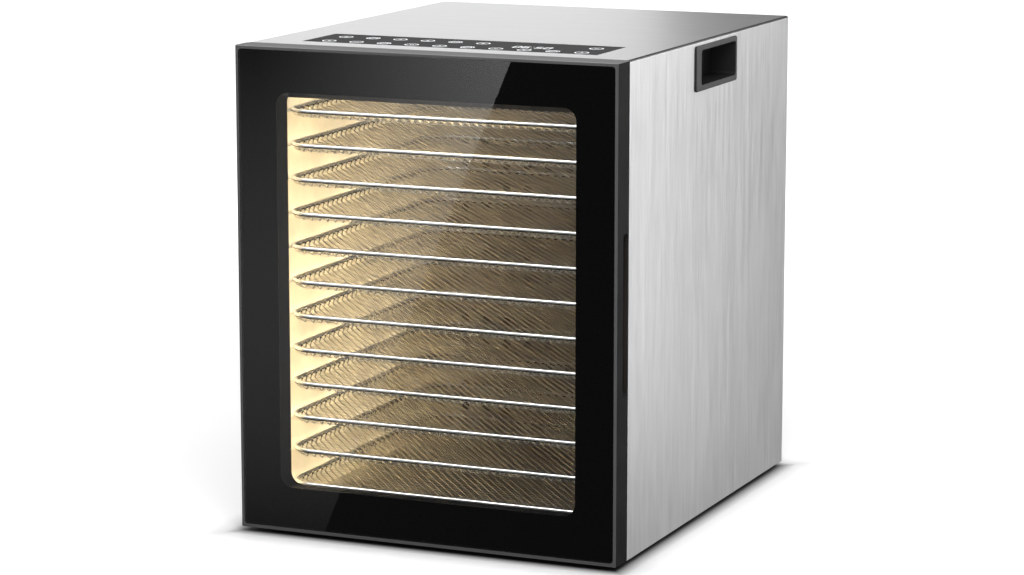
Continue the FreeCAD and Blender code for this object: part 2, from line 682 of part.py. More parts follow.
def make_handle_cup(side, sign):
    """Recessed carry handle with a thin flange standing proud of the side."""
    def outward(inner, outer):
        pair = (f"{sign}({inner})", f"{sign}({outer})")
        return pair if sign == "" else (pair[1], pair[0])

    flange = rounded(f"cup_{side}_flange", "x", ("cup_front - 11.8", "cup_rear + 4"),
                     ("cup_low - 5", "cup_high + 4.1"),
                     *outward(SIDE, f"{SIDE} + cup_proud"), "2.5")
    edge = number(f"{sign}({SIDE} + cup_proud)")
    round_edges(flange, "1.0", lambda b: abs(b.XMax - edge) < 0.01 and abs(b.XMin - edge) < 0.01)
    shell = box(f"cup_{side}_shell", outward(f"{SIDE} - cup_depth - 2", f"{SIDE} + 0.5"),
                ("cup_front - 2", "cup_rear + 2"), ("cup_low - 2", "cup_high + 2"))
    hollow = rounded(f"cup_{side}_hollow", "x", ("cup_front", "cup_rear"), ("cup_low", "cup_high"),
                     *outward(f"{SIDE} - cup_depth", f"{SIDE} + cup_proud + 1"), "3.0")
    keep(cut(f"handle_cup_{side}_solid", fuse(f"cup_{side}_blank", [flange, shell]), [hollow]),
         f"handle_cup_{side}")


# ---- Door and hinge ------------------------------------------------------------------------

def make_brackets():
    """A plate behind the front frame, with a lug that reaches forward to the hinge pin."""
    axis = (HINGE_X, HINGE_Y)
    reaches = {"lower": (LUG_LOW, 2, 15.5), "upper": (LUG_HIGH, 8, 3)}
    for name, ((low, high), below, above) in reaches.items():
        plate = box(f"{name}_plate", (f"-{INSIDE} + 1", "-chamber_half - 4"),
                    (FRAME_BACK, f"{FRAME_BACK} + 2"),
                    (f"{low} - {below}", f"{high} + {above}"))
        arm = box(f"{name}_arm", (f"{HINGE_X} - lug_half", f"{HINGE_X} + lug_half"),
                  (HINGE_Y, f"{FRAME_BACK} + 1"), (low, high))
        nose = rod(f"{name}_nose", "z", "lug_half", axis, low, high)
        bore = rod(f"{name}_lug_bore", "z", "pin_radius", axis, f"{low} - 1", f"{high} + 1")
        keep(cut(f"{name}_bracket_solid", fuse(f"{name}_bracket_blank", [plate, arm, nose]), [bore]),
             f"{name}_hinge_bracket")
    lower = (f"{LUG_LOW[0]} - 0.6", f"{LUG_LOW[1]} + bush_length + 1.4")
    upper = (f"{LUG_HIGH[0]} - bush_length - 1.4", f"{LUG_HIGH[1]} + 0.6")
    pins = [rod("lower_pin", "z", "pin_radius", axis, *lower),
            rod("upper_pin", "z", "pin_radius", axis, *upper)]
    keep(group("hinge_pin_group", pins), "hinge_pins")


def bush_levels():
    return [(f"{LUG_LOW[1]} + 0.6", f"{LUG_LOW[1]} + 0.6 + bush_length"),
            (f"{LUG_HIGH[0]} - 0.6 - bush_length", f"{LUG_HIGH[0]} - 0.6")]


def make_bushes():
    bushes = []
    for i, (low, high) in enumerate(bush_levels()):
        sleeve = rod(f"bush_sleeve_{i}", "z", "bush_radius", (HINGE_X, HINGE_Y), low, high)
        bore = rod(f"bush_bore_{i}", "z", "pin_radius + pin_clearance", (HINGE_X, HINGE_Y), f"{low} - 1",
                   f"{high} + 1")
        bushes.append(cut(f"bush_{i}", sleeve, [bore]))
    keep(group("hinge_bush_group", bushes), "hinge_bushes")


def make_door():
    """Deep moulded frame behind a full glass front, closed by a flat inner cover."""
    blank = prism("door_blank", "y", rectangle(mirror_pair(SIDE), ("foot_height", TOP)), DOOR_FACE,
                  DOOR_BACK)
    half, back = number(SIDE), number(DOOR_BACK)
    round_edges(blank, "door_edge", lambda b: along("z")(b) and b.XMax < 0.01 - half and b.YMin > back - 0.01)
    face = number(DOOR_FACE)
    round_edges(blank, "1.0", lambda b: along("z")(b) and abs(b.XMax) > half - 0.01 and b.YMax < face + 0.01)
    glass_x = mirror_pair(f"{SIDE} - bezel")
    glass_z = ("foot_height + bezel", f"{TOP} - bezel")
    pocket = rounded("door_glass_pocket", "y", glass_x, glass_z, f"{DOOR_FACE} - 1", TAPE_BACK,
                     "glass_corner")
    mouth = rounded("door_mouth", "y", mirror_pair("window_half"), ("window_low - 2", "window_high"),
                    f"{TAPE_BACK} - 1", f"{DOOR_BACK} + 1", "window_corner")
    cavity_y = (f"{TAPE_BACK} + 2.5", f"{DOOR_BACK} - cover_sheet / 2")
    cover_x = (f"-{SIDE} + 14", f"{SIDE} - grip_depth - 5")
    cover_z = ("foot_height + 5", f"{TOP} - 5")
    outer = box("door_cavity_outer", (f"{cover_x[0]} + 3", f"{cover_x[1]} - 3"), cavity_y,
                (f"{cover_z[0]} + 3", f"{cover_z[1]} - 3"))
    inner = box("door_cavity_inner", mirror_pair("window_half + 3"), cavity_y,
                ("window_low - 5", "window_high + 3"))
    cavity = cut("door_cavity", outer, [inner])
    rebate = box("door_cover_rebate", cover_x, (f"{DOOR_BACK} - cover_sheet", f"{DOOR_BACK} + 1"), cover_z)
    grip = prism("door_grip", "y", [
        (f"{SIDE} + 1", "grip_low - 1"), (f"{SIDE} + 1", "grip_high + 1"), (SIDE, "grip_high"),
        (f"{SIDE} - grip_depth", "grip_high - 7"), (f"{SIDE} - grip_depth", "grip_low + 7"), (SIDE,
                                                                                              "grip_low"),
    ], f"{DOOR_BACK} - grip_reach", f"{DOOR_BACK} + 1")
    slots, bores = [], []
    for i, (low, high) in enumerate((LUG_LOW, LUG_HIGH)):
        slots.append(box(f"door_hinge_slot_{i}", (f"-{SIDE} - 1", f"{HINGE_X} + lug_half + 0.5"),
                         (f"{TAPE_BACK} + 0.1", f"{DOOR_BACK} + 1"), (f"{low} - 1", f"{high} + 1")))
    for i, (low, high) in enumerate(bush_levels()):
        bores.append(rod(f"door_bush_bore_{i}", "z", "bush_radius", (HINGE_X, HINGE_Y), f"{low} - 1.5",
                         f"{high} + 1.5"))
    magnets = [box(f"door_magnet_pocket_{i}", (164, 170), (f"{DOOR_BACK} - 5.2", f"{DOOR_BACK} + 1"),
                   (low, high))
               for i, (low, high) in enumerate(magnet_levels())]
    holes = [rod(f"door_screw_pilot_{i}", "y", 1.2, spot, f"{DOOR_BACK} - 10", DOOR_BACK)
             for i, spot in enumerate(door_screw_spots())]
    bosses = [rod(f"door_boss_{i}", "y", 3.6, spot, cavity_y[0], f"{DOOR_BACK} - cover_sheet")
              for i, spot in enumerate(door_screw_spots())]
    shell = cut("door_shell", blank, [pocket, mouth, cavity, rebate, grip] + slots + bores + magnets)
    keep(cut("door_frame_solid", fuse("door_bossed", [shell] + bosses), holes), "door_frame")

    glass = rounded("glass_sheet", "y", mirror_pair(f"{SIDE} - bezel - 0.1"),
                    ("foot_height + bezel + 0.1", f"{TOP} - bezel - 0.1"), DOOR_FACE,
                    f"{DOOR_FACE} + glass_thick", "glass_corner")
    keep(glass, "door_glass")
    band = rounded("tape_band", "y", mirror_pair(f"{SIDE} - bezel - 0.6"),
                   ("foot_height + bezel + 0.6", f"{TOP} - bezel - 0.6"),
                   f"{DOOR_FACE} + glass_thick", TAPE_BACK, "glass_corner - 0.5")
    opening = rounded("tape_opening", "y", mirror_pair("window_half"), ("window_low", "window_high"),
                      DOOR_FACE, f"{TAPE_BACK} + 1", "window_corner")
    keep(cut("glass_tape_solid", band, [opening]), "glass_tape")

    def shrunk(pair, gap):
        return (f"{pair[0]} + {gap}", f"{pair[1]} - {gap}")

    sheet_y = (f"{DOOR_BACK} - cover_sheet", DOOR_BACK)
    plate = box("cover_plate", shrunk(cover_x, 0.2), sheet_y, shrunk(cover_z, 0.2))
    window = rounded("cover_window", "y", mirror_pair("window_half + 0.2"),
                     ("window_low - 2.2", "window_high + 0.2"),
                     f"{DOOR_BACK} - cover_sheet - 1", f"{DOOR_BACK} + 1", "window_corner")
    clear = [rod(f"cover_screw_hole_{i}", "y", 1.6, spot, f"{DOOR_BACK} - cover_sheet - 1",
                 f"{DOOR_BACK} + 1")
             for i, spot in enumerate(door_screw_spots())]
    sinks = [rod(f"cover_screw_sink_{i}", "y", 3.2, spot, f"{DOOR_BACK} - 1.2", f"{DOOR_BACK} + 1")
             for i, spot in enumerate(door_screw_spots())]
    keep(cut("door_inner_cover_solid", plate, [window] + clear + sinks), "door_inner_cover")
    bars = [box(f"magnet_{i}", (164.1, 169.9), (f"{DOOR_BACK} - 5.2", f"{DOOR_BACK} - 0.2"),
                shrunk(levels, 0.1))
            for i, levels in enumerate(magnet_levels())]
    keep(group("door_magnet_group", bars), "door_magnets")


def magnet_levels():
    return [("foot_height + 26", "foot_height + 46"), (f"{TOP} - 46", f"{TOP} - 26")]


def door_screw_spots():
    """Screw centres in X and Z round the door's inner cover."""
    low, high = "(foot_height + 15)", f"({TOP} - 15)"
    spots = [(x, z) for z in (low, high) for x in (-145, 0, 145)]
    return spots + [(x, z) for x in (-147, 147) for z in (145, 277)]


# ---- Fasteners and wiring ------------------------------------------------------------------

def screw(x, z, seat_y, head_radius, head_height, shank_radius, shank_length, outward):
    """A pan-head screw along Y with a cross recess, its head standing on seat_y."""
    way = V(0, outward, 0)
    head = Part.makeCylinder(head_radius, head_height, V(x, seat_y, z), way)
    crown = [edge for edge in head.Edges
             if abs(edge.BoundBox.YMin - seat_y - outward * head_height) < 0.001
             and edge.BoundBox.YLength < 0.001]
    head = head.makeFillet(head_height * 0.45, crown)
    shank = Part.makeCylinder(shank_radius, shank_length, V(x, seat_y, z), way * -1)
    depth = head_height * 0.6
    low_y = min(seat_y + outward * (head_height - depth), seat_y + outward * head_height)
    arm, slot = head_radius * 0.55, head_radius * 0.13
    across = Part.makeBox(2 * arm, depth + 0.01, 2 * slot, V(x - arm, low_y, z - slot))
    upright = Part.makeBox(2 * slot, depth + 0.01, 2 * arm, V(x - slot, low_y, z - arm))
    return head.fuse(shank).removeSplitter().cut(across).cut(upright)


def make_screws():
    rear = doc.addObject("Part::Feature", "rear_screw_group")
    seat = number(PANEL_REAR_Y)
    rear.Shape = Part.makeCompound([screw(number(x), number(z), seat, 3.2, 1.9, 1.5, 6.0, 1)
                                    for x, z in side_screw_spots() + top_screw_spots() + base_screw_spots()])
    keep(rear, "cabinet_screws")
    inner = doc.addObject("Part::Feature", "door_screw_group")
    seat = number(f"{DOOR_BACK} - 1.2")
    inner.Shape = Part.makeCompound([screw(number(x), number(z), seat, 2.9, 1.1, 1.15, 7.0, 1)
                                     for x, z in door_screw_spots()])
    keep(inner, "door_screws")


def lead(points, radius, bend):
    """A round wire along straight runs joined by tangent arcs."""
    spots = [V(*point) for point in points]
    edges, start = [], spots[0]
    for before, corner, after in zip(spots, spots[1:], spots[2:]):
        inward = (corner - before).normalize()
        outward = (after - corner).normalize()
        turn = inward.getAngle(outward)
        run = bend * math.tan(turn / 2)
        first, last = corner - inward * run, corner + outward * run
        middle = (outward - inward).normalize()
        centre = corner + middle * (bend / math.cos(turn / 2))
        edges.append(Part.LineSegment(start, first).toShape())
        edges.append(Part.Arc(first, centre - middle * bend, last).toShape())
        start = last
    edges.append(Part.LineSegment(start, spots[-1]).toShape())
    path = Part.Wire(edges)
    ring = Part.Wire(Part.Circle(spots[0], spots[1] - spots[0], radius).toShape())
    return path.makePipeShell([ring], True, False)


def make_leads():
    """Insulated wires clipped inside the cabinet, between the inlet, boards, fan and heater."""
    board_z = 386
    routes = {
        "mains_leads": [[(x, 184.5, 60), (x, 170, 60), (x, 170, board_z), (x, y, board_z), (70, y, board_z)]
                        for x, y in ((108, 118), (114, 110))],
        "heater_leads": [[(x, 182, 285.8), (x, 192, 285.8), (x, 192, board_z),
                          (x, 160, board_z)] for x in (-20, 20)],
        "fan_leads": [[(x, 185, 224.1), (x, 185, board_z), (x, 160, board_z)] for x in (-4, 4)],
    }
    for name, paths in routes.items():
        item = doc.addObject("Part::Feature", name + "_group")
        item.Shape = Part.makeCompound([lead(path, 1.5, 8.0) for path in paths])
        keep(item, name)
    ribbon = [box("ribbon_run", (-8, 8), (-98, 60), ("391.4", "391.8")),
              box("ribbon_drop", (-8, 8), (59.6, 60), ("381.6", "391.8")),
              box("ribbon_tail", (-8, 8), (59.6, 66), ("381.6", "382.0")),
              box("ribbon_head", (-8, 8), (-110, -97.6), ("391.4", "391.8")),
              box("ribbon_plug", (-9, 9), (-110, -104), ("391.4", "394"))]
    keep(fuse("panel_ribbon_solid", ribbon), "panel_ribbon")


make_case_wrap()
make_base_pan()
make_feet()
make_rear_panel()
make_lower_plate()
make_front_frame()
make_strikers()
make_side_liner("left", "-")
make_side_liner("right", "")
make_floor_and_roof()
make_air_baffle()
make_lamp()
for tray_index in range(int(number("tray_count"))):
    make_tray(tray_index)
make_fan()
make_heater()
make_electronics()
make_handle_cup("left", "-")
make_handle_cup("right", "")
make_brackets()
make_bushes()
make_door()
make_screws()
make_leads()
doc.recompute()

for item in doc.Objects:
    if "Invalid" in item.State or "Error" in item.State:
        raise RuntimeError(f"{item.Label} failed: {item.State}")
os.makedirs("parts", exist_ok=True)
for item in parts:
    shape = item.Shape
    if shape.isNull() or not shape.isValid() or not shape.Solids:
        raise RuntimeError(f"{item.Label} has no valid solid")
    shape.exportStep(f"parts/{item.Label}.step")
    print(f"{item.Label:22s} solids {len(shape.Solids):3d}  volume {shape.Volume / 1000:9.2f} cm3")
print(len(parts), "sub-parts written")
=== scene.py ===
import json
import math
import bpy
from mathutils import Matrix, Vector

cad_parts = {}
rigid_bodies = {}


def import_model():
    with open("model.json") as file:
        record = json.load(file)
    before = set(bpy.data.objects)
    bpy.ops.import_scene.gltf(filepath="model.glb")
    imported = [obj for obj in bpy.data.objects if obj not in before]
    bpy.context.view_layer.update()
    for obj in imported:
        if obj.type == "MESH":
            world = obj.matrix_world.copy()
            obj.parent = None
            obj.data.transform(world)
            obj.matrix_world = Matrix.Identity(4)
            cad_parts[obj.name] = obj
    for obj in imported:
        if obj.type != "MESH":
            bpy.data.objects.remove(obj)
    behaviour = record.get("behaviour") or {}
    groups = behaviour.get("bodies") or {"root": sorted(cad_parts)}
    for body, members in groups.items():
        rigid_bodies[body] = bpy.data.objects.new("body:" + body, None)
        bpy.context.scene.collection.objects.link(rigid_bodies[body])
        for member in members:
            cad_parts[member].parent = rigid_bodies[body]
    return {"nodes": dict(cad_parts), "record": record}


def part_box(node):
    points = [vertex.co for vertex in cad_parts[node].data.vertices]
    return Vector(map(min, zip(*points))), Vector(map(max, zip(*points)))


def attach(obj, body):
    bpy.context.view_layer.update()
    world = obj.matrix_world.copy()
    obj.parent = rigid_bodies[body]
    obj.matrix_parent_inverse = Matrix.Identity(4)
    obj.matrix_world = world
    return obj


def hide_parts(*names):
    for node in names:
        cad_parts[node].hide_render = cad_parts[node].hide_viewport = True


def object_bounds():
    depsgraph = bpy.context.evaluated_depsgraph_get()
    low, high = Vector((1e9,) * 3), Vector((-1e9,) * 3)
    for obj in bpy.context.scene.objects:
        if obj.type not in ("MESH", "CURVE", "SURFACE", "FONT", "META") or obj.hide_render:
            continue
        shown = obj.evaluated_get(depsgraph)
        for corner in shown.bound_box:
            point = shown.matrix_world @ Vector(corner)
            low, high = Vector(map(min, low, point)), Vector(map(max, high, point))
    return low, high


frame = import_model()
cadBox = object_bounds()
nodes = frame["nodes"]
trayNodes = sorted(name for name in nodes if name.startswith("tray_"))
print("frame loaded,", len(nodes), "nodes")


# selecting and shaping, as by hand

def objectMode():
    if bpy.context.object and bpy.context.object.mode != "OBJECT":
        bpy.ops.object.mode_set(mode="OBJECT")


def selectNothing():
    objectMode()
    bpy.ops.object.select_all(action="DESELECT")


def selectOnly(piece):
    selectNothing()
    piece.select_set(True)
    bpy.context.view_layer.objects.active = piece


def namePiece(name):
    piece = bpy.context.object
    piece.name = name
    piece.data.name = name
    return piece


def settle(piece):
    selectOnly(piece)
    bpy.ops.object.transform_apply(location=True, rotation=True, scale=True)


def pickFaces(piece, wanted):
    selectOnly(piece)
    bpy.ops.object.mode_set(mode="EDIT")
    bpy.ops.mesh.select_mode(type="FACE")
    bpy.ops.mesh.select_all(action="DESELECT")
    bpy.ops.object.mode_set(mode="OBJECT")
    for face in piece.data.polygons:
        face.select = wanted(face)
    bpy.ops.object.mode_set(mode="EDIT")


def pickEdges(piece, wanted):
    selectOnly(piece)
    bpy.ops.object.mode_set(mode="EDIT")
    bpy.ops.mesh.select_mode(type="EDGE")
    bpy.ops.mesh.select_all(action="DESELECT")
    bpy.ops.object.mode_set(mode="OBJECT")
    points = piece.data.vertices
    for edge in piece.data.edges:
        edge.select = wanted(points[edge.vertices[0]].co, points[edge.vertices[1]].co)
    bpy.ops.object.mode_set(mode="EDIT")


def applyModifier(piece, kind, **settings):
    selectOnly(piece)
    modifier = piece.modifiers.new(kind.title(), kind)
    for key, value in settings.items():
        setattr(modifier, key, value)
    bpy.ops.object.modifier_apply(modifier=modifier.name)


def smooth(piece, angle):
    selectOnly(piece)
    bpy.ops.object.shade_smooth_by_angle(angle=math.radians(angle))


def addBlock(name, low, high):
    low, high = Vector(low), Vector(high)
    selectNothing()
    bpy.ops.mesh.primitive_cube_add(size=1, location=(low + high) / 2, scale=high - low)
    piece = namePiece(name)
    settle(piece)
    return piece


def copyPiece(piece, name, shift):
    twin = piece.copy()
    twin.data = piece.data.copy()
    twin.name = twin.data.name = name
    bpy.context.scene.collection.objects.link(twin)
    twin.data.transform(Matrix.Translation(shift))
    return twin


def joinPieces(name, pieces):
    selectNothing()
    for piece in pieces:
        piece.select_set(True)
    bpy.context.view_layer.objects.active = pieces[0]
    bpy.ops.object.join()
    return namePiece(name)


def upright(a, b):
    near = 1e-5
    return abs(a.z - b.z) > near and abs(a.x - b.x) < near and abs(a.y - b.y) < near


# materials, all on Object coordinates

def startMaterial(name, colour, roughness, metallic=0.0, **sockets):
    material = bpy.data.materials.new(name)
    material.use_nodes = True
    shader = material.node_tree.nodes["Principled BSDF"]
    shader.inputs["Base Color"].default_value = (*colour, 1)
    shader.inputs["Roughness"].default_value = roughness
    shader.inputs["Metallic"].default_value = metallic
    for socket, value in sockets.items():
        shader.inputs[socket.replace("_", " ")].default_value = value
    return material, material.node_tree, shader


def addNode(tree, kind, **settings):
    node = tree.nodes.new(kind)
    for key, value in settings.items():
        setattr(node, key, value)
    return node


def placeVector(tree, scale=(1, 1, 1), turn=(0, 0, 0)):
    coordinates = addNode(tree, "ShaderNodeTexCoord")
    mapping = addNode(tree, "ShaderNodeMapping")
    mapping.inputs["Scale"].default_value = scale
    mapping.inputs["Rotation"].default_value = turn
    tree.links.new(coordinates.outputs["Object"], mapping.inputs["Vector"])
    return mapping.outputs["Vector"]


def placeParts(tree):
    coordinates = addNode(tree, "ShaderNodeTexCoord")
    split = addNode(tree, "ShaderNodeSeparateXYZ")
    tree.links.new(coordinates.outputs["Object"], split.inputs["Vector"])
    return split.outputs["X"], split.outputs["Y"], split.outputs["Z"]


def addNoise(tree, vector, scale, detail=3.0, rough=0.5):
    noise = addNode(tree, "ShaderNodeTexNoise")
    noise.inputs["Scale"].default_value = scale
    noise.inputs["Detail"].default_value = detail
    noise.inputs["Roughness"].default_value = rough
    tree.links.new(vector, noise.inputs["Vector"])
    return noise.outputs["Fac"]


def spread(tree, value, low, high, fromLow=0.3, fromHigh=0.7):
    ranged = addNode(tree, "ShaderNodeMapRange")
    for socket, number in (("From Min", fromLow), ("From Max", fromHigh),
                           ("To Min", low), ("To Max", high)):
        ranged.inputs[socket].default_value = number
    tree.links.new(value, ranged.inputs["Value"])
    return ranged.outputs["Result"]


def mixColours(tree, factor, first, second):
    mix = addNode(tree, "ShaderNodeMix", data_type="RGBA")
    colours = [socket for socket in mix.inputs if socket.type == "RGBA"]
    for socket, colour in zip(colours, (first, second)):
        if isinstance(colour, tuple):
            socket.default_value = (*colour, 1)
        else:
            tree.links.new(colour, socket)
    tree.links.new(factor, mix.inputs["Factor"])
    return [socket for socket in mix.outputs if socket.type == "RGBA"][0]


def addBump(tree, shader, height, strength, distance):
    bump = addNode(tree, "ShaderNodeBump")
    bump.inputs["Strength"].default_value = strength
    bump.inputs["Distance"].default_value = distance
    tree.links.new(height, bump.inputs["Height"])
    tree.links.new(bump.outputs["Normal"], shader.inputs["Normal"])


def combine(tree, operation, first, second):
    node = addNode(tree, "ShaderNodeMath", operation=operation)
    for socket, value in zip(node.inputs, (first, second)):
        if isinstance(value, (int, float)):
            socket.default_value = value
        else:
            tree.links.new(value, socket)
    return node.outputs[0]


def addStreaks(tree, grain, coarse, rough, fineShare):
    # grain gives the scale along X, Y and Z; small numbers are long streaks
    fine = addNoise(tree, placeVector(tree, grain), 1.0, 4.0, rough)
    broad = addNoise(tree, placeVector(tree, tuple(value * coarse for value in grain)), 1.0, 2.0)
    return combine(tree, "ADD", combine(tree, "MULTIPLY", fine, fineShare),
                   combine(tree, "MULTIPLY", broad, 1 - fineShare))


def streakColour(tree, streaks, dark, light):
    return mixColours(tree, spread(tree, streaks, 0, 1, 0.36, 0.64), dark, light)


def brushedSteel(name, light, dark, roughness, grain):
    material, tree, shader = startMaterial(name, light, roughness[0], 1.0)
    streaks = addStreaks(tree, grain, 0.22, 0.65, 0.6)
    tree.links.new(streakColour(tree, streaks, dark, light), shader.inputs["Base Color"])
    tree.links.new(spread(tree, streaks, *roughness), shader.inputs["Roughness"])
    addBump(tree, shader, streaks, 0.12, 0.0002)
    return material


cloudScale = 28  # of the faint clouds in moulded pieces


def moulded(name, colour, roughness, grainScale=900, strength=0.18, **sockets):
    material, tree, shader = startMaterial(name, colour, roughness, **sockets)
    vector = placeVector(tree)
    grain = addNoise(tree, vector, grainScale, 3.0, 0.6)
    cloud = addNoise(tree, vector, cloudScale, 3.0)
    lift = tuple(min(1, value * 1.35 + 0.004) for value in colour)
    tree.links.new(mixColours(tree, spread(tree, cloud, 0, 1), colour, lift), shader.inputs["Base Color"])
    tree.links.new(spread(tree, grain, roughness - 0.05, roughness + 0.08), shader.inputs["Roughness"])
    addBump(tree, shader, grain, strength, 0.0002)
    return material


caseFinish = {
    "light": (0.78, 0.78, 0.785),
    "dark": (0.66, 0.66, 0.665),
    "sideGrain": (850, 850, 26),  # upright on the two sides
    "topGrain": (26, 850, 850),  # sideways on the top
    "topSkin": 0.0015,  # how far down the sheet counts as its top
    "roughness": (0.30, 0.40),
    "bendLine": 0.0017,  # width of the painted dark reflection line on the two top bends
    "bendColour": (0.10, 0.10, 0.10),
}


def caseSteel():
    light, dark, roughness = caseFinish["light"], caseFinish["dark"], caseFinish["roughness"]
    material, tree, shader = startMaterial("caseSteel", light, roughness[0], 1.0)
    x, y, z = placeParts(tree)
    topLevel, sideFace = cadBox[1].z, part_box("case_wrap")[1].x
    onTop = combine(tree, "GREATER_THAN", z, topLevel - caseFinish["topSkin"])
    mix = addNode(tree, "ShaderNodeMix", data_type="FLOAT")
    tree.links.new(onTop, mix.inputs["Factor"])
    for socket, grain in (("A", caseFinish["sideGrain"]), ("B", caseFinish["topGrain"])):
        tree.links.new(addStreaks(tree, grain, 0.25, 0.7, 0.7), mix.inputs[socket])
    streaks = mix.outputs["Result"]
    outward = combine(tree, "ABSOLUTE", x, 0.0)
    # painted reflection: a dark line along the two top bends
    bend = combine(tree, "MULTIPLY", combine(tree, "GREATER_THAN", z, topLevel - caseFinish["bendLine"]),
                   combine(tree, "GREATER_THAN", outward, sideFace - caseFinish["bendLine"]))
    sheet = streakColour(tree, streaks, dark, light)
    tree.links.new(mixColours(tree, bend, sheet, caseFinish["bendColour"]), shader.inputs["Base Color"])
    tree.links.new(spread(tree, streaks, *roughness), shader.inputs["Roughness"])
    addBump(tree, shader, streaks, 0.08, 0.0001)
    return material


trayFinish = {
    "light": (0.93, 0.93, 0.92),
    "dark": (0.84, 0.84, 0.83),
    "roughness": (0.28, 0.34),
    "grain": (60, 60, 60),
    "line": (0.0023, 0.0036),  # depths below a band's top between which the painted shade line lies
    "lineColour": (0.04, 0.038, 0.035),
    "floorColour": (0.52, 0.49, 0.45),
    "frontReach": 0.012,  # the painted floor shade starts this far behind the front
}


def traySteel():
    # bright bands and fronts, a painted shade line under each band, and floors painted darker behind the
    # front as shade
    material = brushedSteel("traySteel", trayFinish["light"], trayFinish["dark"],
                            trayFinish["roughness"], trayFinish["grain"])
    tree = material.node_tree
    shader = tree.nodes["Principled BSDF"]
    x, y, z = placeParts(tree)
    lowest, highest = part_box(trayNodes[0])[1].z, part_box(trayNodes[-1])[1].z
    pitch = (highest - lowest) / (len(trayNodes) - 1)
    above = lowest + 2 * pitch * len(trayNodes)  # a band's level above them all
    depth = combine(tree, "MODULO", combine(tree, "SUBTRACT", above, z), pitch)
    start, end = trayFinish["line"]
    # painted shade: a dark line just under each band
    line = combine(tree, "MULTIPLY", combine(tree, "GREATER_THAN", depth, start),
                   combine(tree, "LESS_THAN", depth, end))
    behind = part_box(trayNodes[0])[0].y + trayFinish["frontReach"]
    # painted shade: the floors behind the front are darker
    floor = combine(tree, "MULTIPLY", combine(tree, "GREATER_THAN", depth, end),
                    combine(tree, "GREATER_THAN", y, behind))
    bright = shader.inputs["Base Color"].links[0].from_socket
    tone = mixColours(tree, floor, bright, trayFinish["floorColour"])
    tree.links.new(mixColours(tree, line, tone, trayFinish["lineColour"]), shader.inputs["Base Color"])
    return material


doorFinish = {
    "colour": (0.012, 0.012, 0.013),
    "roughness": 0.42,
    "clouds": (0.010, 0.016),
    "lipDepth": 0.0004,  # the front lip and the top edge get a painted highlight, paler than the sides
    "lipTone": 0.06,
    "topDepth": 0.0006,
    "topTone": 0.16,
}


def doorPlastic():
    material = moulded("doorPlastic", doorFinish["colour"], doorFinish["roughness"], 1500, 0.12, IOR=1.10)
    tree = material.node_tree
    shader = tree.nodes["Principled BSDF"]
    x, y, z = placeParts(tree)
    low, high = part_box("door_frame")
    # painted highlight on the front lip and the top edge
    front = combine(tree, "LESS_THAN", y, low.y + doorFinish["lipDepth"])
    top = combine(tree, "GREATER_THAN", z, high.z - doorFinish["topDepth"])
    tone = combine(tree, "ADD", combine(tree, "MULTIPLY", front, doorFinish["lipTone"]),
                   combine(tree, "MULTIPLY", top, doorFinish["topTone"]))
    clouds = spread(tree, addNoise(tree, placeVector(tree), cloudScale), *doorFinish["clouds"])
    tree.links.new(combine(tree, "ADD", tone, clouds), shader.inputs["Base Color"])
    return material


panelFinish = {
    "colour": (0.003, 0.003, 0.004),
    "hazed": 0.16,  # roughness at the left
    "polished": 0.02,  # roughness at the right
    "change": (-0.13, 0.05),  # X between which it goes from one to the other
}


def panelGloss():
    material = moulded("panelGloss", panelFinish["colour"], panelFinish["hazed"], 500, 0.01, IOR=1.012)
    tree = material.node_tree
    x, y, z = placeParts(tree)
    sheen = spread(tree, x, panelFinish["hazed"], panelFinish["polished"], *panelFinish["change"])
    tree.links.new(sheen, tree.nodes["Principled BSDF"].inputs["Roughness"])
    return material


def clearGlass(name, colour):
    return startMaterial(name, colour, 0.0, Transmission_Weight=1.0, IOR=1.5)[0]


def glowing(name, colour, strength, roughness=0.5):
    material, tree, shader = startMaterial(name, (0.9, 0.9, 0.9), roughness)
    shader.inputs["Emission Color"].default_value = (*colour, 1)
    shader.inputs["Emission Strength"].default_value = strength
    patch = addNoise(tree, placeVector(tree), 60, 2.0)
    tree.links.new(mixColours(tree, spread(tree, patch, 0, 1), (0.82, 0.82, 0.8), (0.95, 0.95, 0.93)),
                   shader.inputs["Base Color"])
    return material


